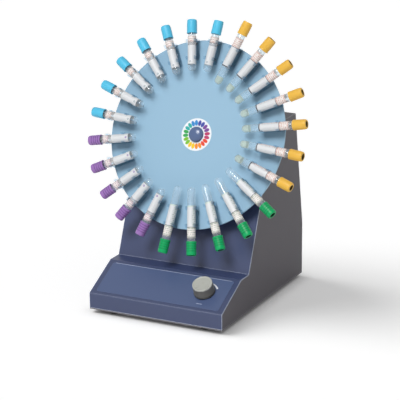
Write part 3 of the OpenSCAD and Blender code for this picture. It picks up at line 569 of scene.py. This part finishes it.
knob_base_r, knob_top_r, knob_h = 16.9, 15.8, 19.7
knob_lift, knob_wall, knob_boss_r, knob_bore = 1.4, 2.0, 6.0, 3.02
knob_ceiling, knob_boss_end, knob_bore_end = 16.7, 4.7, 16.5
foot_shade_top, grip_top = 4.2, 16.9
dish_depth, dish_r = 0.62, 12.5
ridge_count, ridge_step, ridge_depth, ridge_sunk = 17, 0.6, 0.16, 0.68
dish_ridges = [
    (dish_r - ridge_step * i, knob_h - ridge_sunk - ridge_depth * (i % 2))
    for i in range(ridge_count)
]
knob_rings = [
    # Bore, boss and the inside of the wall
    (0, knob_bore_end), (knob_bore, knob_bore_end), (knob_bore, knob_boss_end),
    (knob_boss_r, knob_boss_end), (knob_boss_r, knob_ceiling),
    (knob_top_r - knob_wall, knob_ceiling), (knob_base_r - knob_wall, knob_lift + 0.3),
    # Foot ring
    (knob_base_r - knob_wall + 0.3, knob_lift), (knob_base_r - 0.3, knob_lift),
    (knob_base_r, knob_lift + 0.3), (knob_base_r - 0.08, 3.2), (knob_base_r - 0.45, 3.5),
    # Grip
    (knob_base_r - 0.5, 3.9), (knob_base_r - 0.54, 4.7), (knob_base_r - 0.75, 9),
    (knob_top_r - 0.1, 16.6), (knob_top_r - 0.05, 16.85), (knob_top_r, 17.0),
    # Rim and dish
    (knob_top_r, 18.6), (knob_top_r - 0.15, 19.2), (knob_top_r - 0.5, 19.6),
    (knob_top_r - 0.9, knob_h), (knob_top_r - 1.4, knob_h - 0.05),
    (knob_top_r - 2.0, knob_h - 0.45), (knob_top_r - 2.6, knob_h - dish_depth),
    *dish_ridges, (0, knob_h - 0.8),
]
knob_flutes, lines_per_flute = 48, 4
speed_knob = turned(knob_rings, sides=lines_per_flute * knob_flutes)
bpy.ops.object.mode_set(mode="EDIT")
draw_in_flutes(
    speed_knob, knob_flutes, low=3.8, high=16.8, outside=knob_top_r - 0.6, shrink=0.978
)
bpy.ops.object.mode_set(mode="OBJECT")
# Inks of the dish and rim and of the grip, then painted shade: black on the foot ring
inked(speed_knob, "acada6")
inked(speed_knob, "6b6964", lambda p: p.z < grip_top)
inked(speed_knob, "161618", lambda p: p.z < foot_shade_top)

# Pointer: a bar moulded on the dish, with rounded edges
pointer_long, pointer_wide, pointer_high, pointer_round = 6.5, 1.1, 0.6, 0.22
pointer_at, pointer_angle = 10.2, math.radians(240)
bpy.ops.mesh.primitive_cube_add(size=1)
pointer = bpy.context.object
pointer.scale = Vector((pointer_long, pointer_wide, pointer_high)) * MM
pointer.location = (pointer_at * MM, 0, (knob_h - dish_depth) * MM)
bpy.ops.object.transform_apply(location=True, scale=True)
bpy.ops.object.mode_set(mode="EDIT")
bpy.ops.mesh.select_all(action="SELECT")
bpy.ops.mesh.bevel(offset=pointer_round * MM, segments=3)
bpy.ops.object.mode_set(mode="OBJECT")
bpy.ops.object.shade_smooth_by_angle(angle=crease)

knob_grey = coated(
    "knob grey", None, 0.42, grains=1800, depth=0.02, shade=0.08, edge=("b4b5ae", 0.5, 0.3)
)
pointer_grey = coated("pointer grey", "a7a8a2", 0.4, grains=1800, depth=0.02)
seat(speed_knob, knob_frame)
fit_out(speed_knob, "knob_body", knob_grey, "knob", "knob_grey", "speed_knob")
seat(pointer, knob_frame @ Matrix.Rotation(pointer_angle, 4, "Z"))
fit_out(pointer, "knob_pointer", pointer_grey, "knob", "knob_grey")

# ---------- potentiometer ----------
# A panel potentiometer behind the slope, clamped by its washer and nut through the
# sheet; its ground steel shaft carries the knob.
bright_steel = coated(
    "ground steel", "c9cbcd", 0.22, grains=900, depth=0.006, shade=0.1, spread=0.2,
    metallic=1.0, stretch=(1, 1, 0.2),
)
pot_shell = coated(
    "tinned steel shell", "9a9c98", 0.35, grains=600, depth=0.01, shade=0.2, metallic=1.0
)
finish_nodes(bright_steel, "pot_shaft")
finish_nodes(pot_shell, "potentiometer")
finish_nodes(zinc_plate, "pot_washer", "pot_nut")

# ---------- control board ----------
# A fibreglass board on brass pillars, green with solder resist, that carries the
# motor driver, its heat sink and capacitors and the terminal blocks.
board_resist = coated(
    "solder resist", "1d5a38", 0.3, grains=260, depth=0.03, shade=0.5, spread=0.3
)
part_black = coated(
    "black moulded parts", "2d3230", 0.45, grains=900, depth=0.02, shade=0.25
)
brass = coated(
    "turned brass", "c9a34f", 0.25, grains=900, depth=0.008, shade=0.15, metallic=1.0
)
finish_nodes(board_resist, "control_board")
finish_nodes(part_black, "board_components")
finish_nodes(brass, "board_standoffs")
finish_nodes(zinc_plate, "board_screws")

# ---------- rear inlet and switch ----------
# A round low-voltage inlet, held by its nut, and a rocker switch that snaps into the
# rear cover, both moulded in black nylon.
# Their edges get a painted highlight
black_nylon = coated(
    "black nylon", "1b1b1d", 0.42, grains=1400, depth=0.02, shade=0.2, edge=("3c3c40", 0.4, 0.4)
)
finish_nodes(black_nylon, "power_inlet", "switch_body", "power_rocker")
finish_nodes(zinc_plate, "inlet_nut")

# ---------- wiring ----------
# Stranded leads in red PVC from the motor, the potentiometer, the inlet and the
# switch to the terminal blocks on the board.
lead_pvc = coated("red lead", "a3221e", 0.4, grains=300, depth=0.01, shade=0.12)
finish_nodes(lead_pvc, "wire_harness")

# ---------- drive ----------
# A geared motor on a bracket behind the main face turns the spindle through a plain
# coupling with grub screws; two ball bearings in a turned aluminium housing carry it.
aluminium = coated(
    "turned aluminium", "b4b7ba", 0.34, grains=800, depth=0.012, shade=0.12, spread=0.25,
    metallic=1.0,
)
finish_nodes(aluminium, "bearing_housing", "motor_bracket", "shaft_coupling", "hub_flange")
finish_nodes(
    bright_steel, "spindle", "gearbox_shaft", "bearing_outer_rings", "bearing_inner_rings",
    "drive_pins",
)
finish_nodes(
    zinc_plate, "bearing_screws", "bracket_posts", "post_screws", "gearbox_screws", "gearbox",
    "motor",
)
finish_nodes(part_black, "grub_screws")

# ---------- disc ----------
# A 300 mm disc of 3 mm aluminium sheet, turned on its rim and sprayed sky blue with
# a satin lacquer, screwed to the hub flange through its middle.
# Its rim gets a painted highlight
disc_lacquer = coated(
    "sky blue lacquer", "8fb3cb", 0.52, grains=420, depth=0.015, shade=0.05, spread=0.12,
    edge=("b9d4e6", 0.5, 0.5), sockets={"Specular IOR Level": 0.5},
)
finish_nodes(disc_lacquer, "disc")

# ---------- hub cap and sticker ----------
# A glossy slate dome moulded in ABS snaps over the centre screw, and a white vinyl
# ring round it carries a plain wheel of coloured ovals.
disc_frame = joint_frame("disc_spin", 1)
hub_cap_r, hub_rise, hub_wall, hub_side = 12.0, 8.0, 1.6, 2.4
hub_bore_r, hub_ceiling = hub_cap_r - hub_wall, hub_rise - hub_wall


def arc_rings(radius, rise, middle, steps, first, last):
    """Rings of a turned body on a quarter ellipse divided into steps: step 0 is the widest
    ring, at the height middle, and the last step the pole; steps below 0 go down."""
    angles = [math.pi / 2 * i / steps for i in range(first, last + 1)]
    return [(radius * math.cos(a), middle + rise * math.sin(a)) for a in angles]


hub_rings = [
    # Hollow inside
    (0, hub_ceiling), *arc_rings(hub_bore_r, hub_ceiling - hub_side, hub_side, 5, 0, 4)[::-1],
    # Foot and groove over the sticker
    (hub_bore_r, 0.4), (hub_bore_r + 0.4, 0.02), (hub_cap_r - 0.2, 0.02), (hub_cap_r, 0.2),
    (hub_cap_r, 1.4), (hub_cap_r - 0.35, 1.7), (hub_cap_r - 0.1, hub_side),
    # Dome
    *arc_rings(hub_cap_r, hub_rise - hub_side, hub_side, 10, 1, 9), (0, hub_rise),
]
hub_dome = turned(hub_rings, sides=96)
seat(hub_dome, disc_frame)
gloss_abs = coated(
    "glossy slate", "4f628a", 0.26, grains=300, depth=0.004, shade=0.04, spread=0.05,
    sockets={"Coat Weight": 0.15, "Coat Roughness": 0.2},
)
fit_out(hub_dome, "hub_dome", gloss_abs, "rotor", "hub_slate", "hub_cap")

vinyl = coated("white vinyl", "e8ebef", 0.35, grains=1500, depth=0.005, shade=0.03)
finish_nodes(vinyl, "centre_sticker")
finish_nodes(zinc_plate, "hub_washer", "hub_screw")

# Spots: one thin oval, copied round the ring, each with its ink
dot_colours = [
    "2f9e4f", "77b82a", "f0c419", "ee8b1c", "e0452b",
    "b62f62", "74408f", "3d4aa0", "2f86c9", "23a6a0",
]
dots_round, first_dot_angle = 20, 172
dot_r, dot_at, dot_stretch = 2.7, 18.6, 1.7
sticker_top = 0.25


def gathered(pieces):
    """Joins copies into one mesh."""
    bpy.ops.object.select_all(action="DESELECT")
    for piece in pieces:
        piece.select_set(True)
    bpy.context.view_layer.objects.active = pieces[0]
    bpy.ops.object.join()
    return pieces[0]


def copied(master, places):
    """Copies a modelled piece to each place, each with its own mesh, and uses it up."""
    made = []
    for matrix in places:
        only(master)
        bpy.ops.object.duplicate()
        copy = bpy.context.object
        seat(copy, matrix)
        made.append(copy)
    bpy.data.objects.remove(master)
    return made


bpy.ops.mesh.primitive_circle_add(vertices=28, radius=dot_r * MM, fill_type="NGON")
dot = bpy.context.object
dot.scale = (dot_stretch, 1, 1)
bpy.ops.object.transform_apply(scale=True)
bpy.ops.object.mode_set(mode="EDIT")
raise_flat(print_t)
dot_places = [
    disc_frame
    @ Matrix.Rotation(math.radians(first_dot_angle + 360 * i / dots_round), 4, "Z")
    @ Matrix.Translation(Vector((dot_at, 0, sticker_top)) * MM)
    for i in range(dots_round)
]
dots = copied(dot, dot_places)
for i, spot in enumerate(dots):
    inked(spot, dot_colours[i * len(dot_colours) // dots_round])
colour_dots = gathered(dots)
colour_inks = coated("coloured inks", None, 0.35, grains=2500, depth=0.003)
fit_out(colour_dots, "colour_dots", colour_inks, "rotor", "sticker_white")

# ---------- tube clips ----------
# Springy clips moulded in clear polycarbonate, one for each tube, with a foot plate,
# a rib and two open jaws; two screws from behind the disc hold each of them.
clear_polycarbonate = coated(
    "clear polycarbonate", "dce9f2", 0.08, grains=300, depth=0.005, shade=0.03, spread=0.05,
    sockets={"Transmission Weight": 1.0, "IOR": 1.02, "Coat Weight": 0.35}, lets_light=0.65,
)
finish_nodes(clear_polycarbonate, "tube_clips")
finish_nodes(zinc_plate, "clip_screws")

# ---------- tubes ----------
# Round-bottomed blood tubes moulded in clear plastic with a rounded lip, 13 mm across:
# 12 of 75 mm and 12 of 100 mm, clipped round the disc in groups by the colour of cap.
tube_r, bore_r, tube_lift = 6.5, 5.5, 17.7
first_angle, tube_count = 10.3, 24
# Distance of the round end from the spindle, and length
short_start, short_len = 97.5, 75.0
long_start, long_len = 85.0, 100.0
short_mouth, long_mouth = short_start + short_len, long_start + long_len
yellow, blue = [0, 1, 2, 3, 4, 22, 23], list(range(5, 12))
purple, green = list(range(12, 17)), list(range(17, 22))
short_ones, long_ones = blue + purple, yellow + green


def along_tube(number, distance):
    """Frame on a tube's axis at a distance from the spindle, its Z outwards along the tube."""
    return (
        disc_frame
        @ Matrix.Rotation(math.radians(first_angle + number * 360 / tube_count), 4, "Z")
        @ Matrix.Translation(Vector((distance, 0, tube_lift)) * MM)
        @ Matrix.Rotation(math.pi / 2, 4, "Y")
    )


def tube_rings(length):
    """Rings of a tube that stands on its round end."""
    outside = arc_rings(tube_r, tube_r, tube_r, 9, -8, 0)
    inside = arc_rings(bore_r, bore_r, tube_r, 9, -8, 0)
    lip = [
        (tube_r, length - 0.4), (tube_r - 0.15, length - 0.1), (tube_r - 0.5, length),
        (bore_r + 0.15, length - 0.1), (bore_r, length - 0.4),
    ]
    return [(0, 0), *outside, *lip, *inside[::-1], (0, tube_r - bore_r)]


clear_tube = coated(
    "clear tube plastic", "eef6fa", 0.04, grains=240, depth=0.003, shade=0.02, spread=0.04,
    sockets={
        "Transmission Weight": 0.96, "IOR": 1.03, "Coat Weight": 1.0, "Coat Roughness": 0.12,
        "Sheen Weight": 0.35, "Sheen Roughness": 0.4,
    },
    lets_light=0.86,
)
for name, numbers, start, length, node_name in (
    ("short_tube_set", short_ones, short_start, short_len, "short_tubes"),
    ("long_tube_set", long_ones, long_start, long_len, "long_tubes"),
):
    one_tube = turned(tube_rings(length), sides=48)
    tube_set = gathered(copied(one_tube, [along_tube(k, start) for k in numbers]))
    fit_out(tube_set, name, clear_tube, "rotor", "tube_clear", node_name)

# ---------- labels ----------
# Paper and film labels wrapped round the tubes with a narrow gap towards the disc:
# a white writing field, and near the cap a clear end printed with fill lines.
label_inner_r, label_t, half_gap = 6.53, 0.09, 15
# Length of the bare round end of a tube, before its label, and of the label
short_bare, short_label_len = 11.0, 46.0
long_bare, long_label_len = 30.0, 51.0
# Small print: pitch of its rows in mm, and the part of a row's height that has ink
row_pitch, row_ink = 2.9, (0.35, 0.8)
# Letters and ruled lines in one turn of the label; shares left blank, and a rule's width
letters_round, rules_round = 46.0, 14.0
blank_letters, blank_notes, rule_share = 0.35, 0.4, 0.07
# Places on a label, from 0 to 1 round it or along it
print_round, print_end, film_end = (0.22, 0.8), 0.94, 0.96
print_margin, line_width, last_line = 0.02, 0.012, (0.945, 0.957)
rules_from, rules_margin = 0.16, 0.08
notes_round, notes_along = (0.24, 0.4), (0.08, 0.6)
bar_round, bar_along = (0.34, 0.66), (0.004, 0.04)
# Middle of the ring mark, and its inner and outer radius in mm
ring_round, ring_along, ring_radii = 0.5, 0.08, (0.7, 1.6)
film_cover, print_cover, ink_strength = 0.22, 0.97, 0.6

# Ink of the print, and colour of the mark at the inner end, by the tubes' caps
label_inks = (
    (yellow, "b65a3e", "3f454d"),
    (blue, "a3655a", "8b9ba3"),
    (purple, "96588c", "7c5aa0"),
    (green, "3d7c5c", "c3d2c9"),
)


def printed_label(name, length, field_end, print_from, bar):
    """White field up to field_end, clear film, then print; the mark at the inner end is a
    bar or a small ring."""
    material, tree = blank_material(name)
    uv = add_node(tree, "ShaderNodeUVMap", uv_map="print").outputs[0]
    split = add_node(tree, "ShaderNodeSeparateXYZ", {0: uv}).outputs
    around, along = split["X"], split["Y"]
    ink, mark = [
        add_node(tree, "ShaderNodeAttribute", attribute_name=attribute).outputs["Color"]
        for attribute in ("ink", "mark")
    ]

    def band(value, low, high):
        """1 where the value lies between low and high, and 0 elsewhere."""
        above = compute(tree, "GREATER_THAN", value, low)
        return times(tree, above, compute(tree, "LESS_THAN", value, high))

    # Rows of short strokes stand for the small print; two fine lines close them in
    rows = times(tree, compute(tree, "SUBTRACT", along, print_from), length / row_pitch)
    in_row = band(compute(tree, "FRACT", rows), *row_ink)
    column = compute(tree, "FLOOR", times(tree, around, letters_round))
    row = compute(tree, "FLOOR", rows)
    cell = add_node(tree, "ShaderNodeCombineXYZ", {"X": column, "Y": row}).outputs[0]
    letters = add_node(tree, "ShaderNodeTexWhiteNoise", {"Vector": cell}).outputs["Value"]
    strokes = times(tree, in_row, compute(tree, "GREATER_THAN", letters, blank_letters))
    strokes = times(tree, strokes, band(along, print_from + print_margin, print_end))
    strokes = times(tree, strokes, band(around, *print_round))
    first_line = band(along, print_from, print_from + line_width)
    lines = compute(tree, "MAXIMUM", first_line, band(along, *last_line))

    # The writing field is ruled lengthwise; a field with a bar also has notes in rows
    field = compute(tree, "LESS_THAN", along, field_end)
    ruled = compute(tree, "PINGPONG", times(tree, around, rules_round), 1.0)
    ruled = compute(tree, "LESS_THAN", ruled, rule_share)
    ruled = times(tree, ruled, band(along, rules_from, field_end - rules_margin))
    notes = 0.0
    if bar:
        marks = times(tree, band(along, *bar_along), band(around, *bar_round))
        notes = times(tree, band(along, *notes_along), band(around, *notes_round))
        noted = times(tree, in_row, compute(tree, "GREATER_THAN", letters, blank_notes))
        notes = times(tree, notes, noted)
    else:
        girth = 2 * math.pi * label_inner_r
        ring_x = times(tree, compute(tree, "SUBTRACT", around, ring_round), girth)
        ring_y = times(tree, compute(tree, "SUBTRACT", along, ring_along), length)
        ring = add_node(tree, "ShaderNodeCombineXYZ", {"X": ring_x, "Y": ring_y}).outputs[0]
        away = add_node(tree, "ShaderNodeVectorMath", {0: ring}, operation="LENGTH")
        marks = band(away.outputs["Value"], *ring_radii)

    paper = blended(tree, ruled, paint_colour("d6d8da"), paint_colour("bfc4ca"))
    paper = blended(tree, times(tree, notes, ink_strength), paper, ink)
    film = blended(tree, times(tree, strokes, ink_strength), paint_colour("e9e2de"), ink)
    film = blended(tree, times(tree, lines, ink_strength), film, ink)
    shade = blended(tree, field, film, paper)
    shade = blended(tree, marks, shade, mark)
    printed = times(tree, band(along, print_from, film_end), print_cover)
    cover = compute(tree, "MAXIMUM", field, printed)
    cover = compute(tree, "MAXIMUM", cover, film_cover)
    grain = place_group(
        tree,
        surface_grain,
        {"Colour": shade, "Shade Drift": 0.1, "Grains per Metre": 1200.0, "Roughness": 0.45},
    )
    shader = add_node(
        tree,
        "ShaderNodeBsdfPrincipled",
        {"Base Color": grain["Colour"], "Roughness": grain["Roughness"], "Alpha": cover},
    )
    add_node(tree, "ShaderNodeOutputMaterial", {"Surface": shader.outputs[0]})
    return material


short_print = printed_label("short label print", short_label_len, 0.65, 0.77, bar=False)
long_print = printed_label("long label print", long_label_len, 0.645, 0.67, bar=True)
for name, numbers, start, length, material, node_name in (
    (
        "short_label_set", short_ones, short_start + short_bare, short_label_len, short_print,
        "short_labels",
    ),
    (
        "long_label_set", long_ones, long_start + long_bare, long_label_len, long_print,
        "long_labels",
    ),
):
    bpy.ops.mesh.primitive_circle_add(vertices=72, radius=label_inner_r * MM)
    sleeve = bpy.context.object
    bpy.ops.object.mode_set(mode="EDIT")
    pick(sleeve, lambda p: abs(math.degrees(math.atan2(p.y, p.x))) < half_gap - 0.1)
    bpy.ops.mesh.delete(type="VERT")
    raise_flat(length)
    print_map = sleeve.data.uv_layers.new(name="print")
    for loop in sleeve.data.loops:
        point = sleeve.data.vertices[loop.vertex_index].co / MM
        turn = math.degrees(math.atan2(point.y, point.x)) % 360
        print_map.data[loop.index].uv = (turn / 360, point.z / length)
    face = sleeve.data.polygons[0]
    outward = face.normal.dot(face.center * Vector((1, 1, 0)))
    wall = sleeve.modifiers.new("paper", "SOLIDIFY")
    wall.thickness = label_t * MM
    wall.offset = 1 if outward > 0 else -1
    bpy.ops.object.modifier_apply(modifier=wall.name)
    bpy.ops.object.shade_smooth_by_angle(angle=crease)
    sleeves = copied(sleeve, [along_tube(k, start) for k in numbers])
    for k, label in zip(numbers, sleeves):
        for group, ink_code, mark_code in label_inks:
            if k in group:
                inked(label, ink_code)
                inked(label, mark_code, attribute="mark")
    label_set = gathered(sleeves)
    fit_out(label_set, name, material, "rotor", "label_paper", node_name)

# ---------- separator gel ----------
# A pale thixotropic gel in the round end of the yellow-capped tubes, poured in
# when they are made, with a hollow meniscus where it climbs the wall.
gel_r, gel_top = bore_r - 0.02, 12.8
gel_rings = [
    (0, tube_r - gel_r), *arc_rings(gel_r, gel_r, tube_r, 7, -6, 0),
    (gel_r, gel_top), (gel_r - 0.3, gel_top - 0.2), (gel_r - 1.4, gel_top - 1),
    (2, gel_top - 1.5), (0, gel_top - 1.6),
]
gel = turned(gel_rings, sides=40)
gel_set = gathered(copied(gel, [along_tube(k, long_start) for k in yellow]))
pale_gel = coated(
    "pale gel", "d9e0d0", 0.3, grains=350, depth=0.02, shade=0.12,
    sockets={"Transmission Weight": 0.55, "IOR": 1.03}, lets_light=0.75,
)
fit_out(gel_set, "gel_set", pale_gel, "rotor", "gel", "separator_gel")

# ---------- stoppers ----------
# Bromobutyl rubber stoppers, dark grey, that plug the tubes inside their caps and
# show only at the bottom of each cap's well.
stopper_rubber = coated("stopper rubber", "4a4642", 0.6, grains=700, depth=0.03, shade=0.2)
finish_nodes(stopper_rubber, "tube_stoppers")

# ---------- caps ----------
# Shield caps moulded in coloured polyethylene, with a beaded skirt, a fluted or a
# ringed grip and a round well over the stopper; the colour tells the contents. Painted
# shade darkens the well and the grooves of a ringed grip, and a painted highlight
# lightens the edges.
cap_r, cap_under, cap_over, well_r, head_t = 8.2, 14.5, 7.3, 4.4, 3.25
skirt_r = tube_r + 0.28
skirt_rings = [
    # Inside of the skirt, and its end
    (skirt_r, head_t), (skirt_r, -cap_under + 0.4), (skirt_r + 0.3, -cap_under),
    (cap_r - 0.4, -cap_under), (cap_r - 0.1, -cap_under + 0.15),
    # Bead
    (cap_r, -cap_under + 0.5), (cap_r, -cap_under + 1.5), (cap_r - 0.15, -cap_under + 1.8),
    (cap_r - 0.3, -cap_under + 2.1), (cap_r - 0.22, -cap_under + 2.6),
]
plain_side = [(cap_r - 0.2, -1.2), (cap_r - 0.25, 0)]
crown_rings = [
    # Shoulder and rim
    (cap_r - 0.4, 4.2), (cap_r - 0.6, 5.4), (cap_r - 0.75, 6.2), (cap_r - 1.05, 6.9),
    (cap_r - 1.5, 7.2), (cap_r - 1.9, cap_over), (well_r + 0.5, cap_over),
    # Well
    (well_r + 0.15, cap_over - 0.12), (well_r, cap_over - 0.5), (well_r, head_t),
    (well_r + 0.05, head_t - 0.02),
]
cap_flutes, lines_per_cap_flute = 30, 3
groove_start, groove_step, groove_width, groove_depth, groove_count = -11.5, 3.7, 1.6, 0.35, 4
groove_flank, ringed_r, grip_taper = 0.3, cap_r - 0.35, 0.012
grooved_side = []
for start in [groove_start + groove_step * i for i in range(groove_count)]:
    for up, depth in (
        (0, 0),
        (groove_flank, groove_depth),
        (groove_width - groove_flank, groove_depth),
        (groove_width, 0),
    ):
        z = start + up
        grooved_side.append((ringed_r - grip_taper * z - depth, z))


def shield_cap(ringed):
    """One cap, drawn from its tube's mouth, with rings or flutes round its grip."""
    side = grooved_side if ringed else plain_side
    cap = turned(skirt_rings + side + crown_rings, sides=lines_per_cap_flute * cap_flutes)
    bpy.ops.object.mode_set(mode="EDIT")
    bpy.ops.mesh.select_all(action="DESELECT")
    bpy.ops.mesh.select_mode(type="EDGE")
    bpy.ops.mesh.select_non_manifold()
    bpy.ops.mesh.bridge_edge_loops()
    if not ringed:
        draw_in_flutes(
            cap, cap_flutes, low=2.4 - cap_under, high=4.5, outside=cap_r - 0.6, shrink=0.972
        )
    face_outwards()
    bpy.ops.object.shade_smooth_by_angle(angle=crease)
    return cap


def in_groove(p):
    """Whether a point of a ringed cap lies in one of its grooves."""
    inside = 0.1 < (p.z - groove_start) % groove_step < groove_width - 0.1
    return inside and groove_start < p.z < 3 and from_axis(p) > cap_r - 1


# Columns: colour, tubes, mouth, colour code, painted shade in the well, painted highlight on the
# edges, painted shade in the grooves
for colour, numbers, mouth, code, well_shade_code, highlight_code, groove_shade_code in (
    ("yellow", yellow, long_mouth, "e4b348", "5c4a1c", "f7dc90", None),
    ("blue", blue, short_mouth, "54bde0", "1f5568", "a6e2f5", None),
    ("purple", purple, short_mouth, "9770b1", "3a2a46", "b797cb", "74508f"),
    ("green", green, long_mouth, "00a05b", "06402a", "3cb87c", "008349"),
):
    master = shield_cap(ringed=groove_shade_code is not None)
    inked(master, code)
    # Painted shade in the well and in the grooves
    inked(master, well_shade_code, lambda p: p.z > 0 and from_axis(p) < well_r + 0.3)
    if groove_shade_code:
        inked(master, groove_shade_code, in_groove)
    cap_set = gathered(copied(master, [along_tube(k, mouth) for k in numbers]))
    polyethylene = coated(
        f"{colour} polyethylene", None, 0.4, grains=700, depth=0.02, shade=0.08,
        edge=(highlight_code, 0.35, 0.25), sockets={"Specular IOR Level": 0.3},
    )
    fit_out(cap_set, f"{colour}_cap_set", polyethylene, "rotor", f"cap_{colour}", f"{colour}_caps")
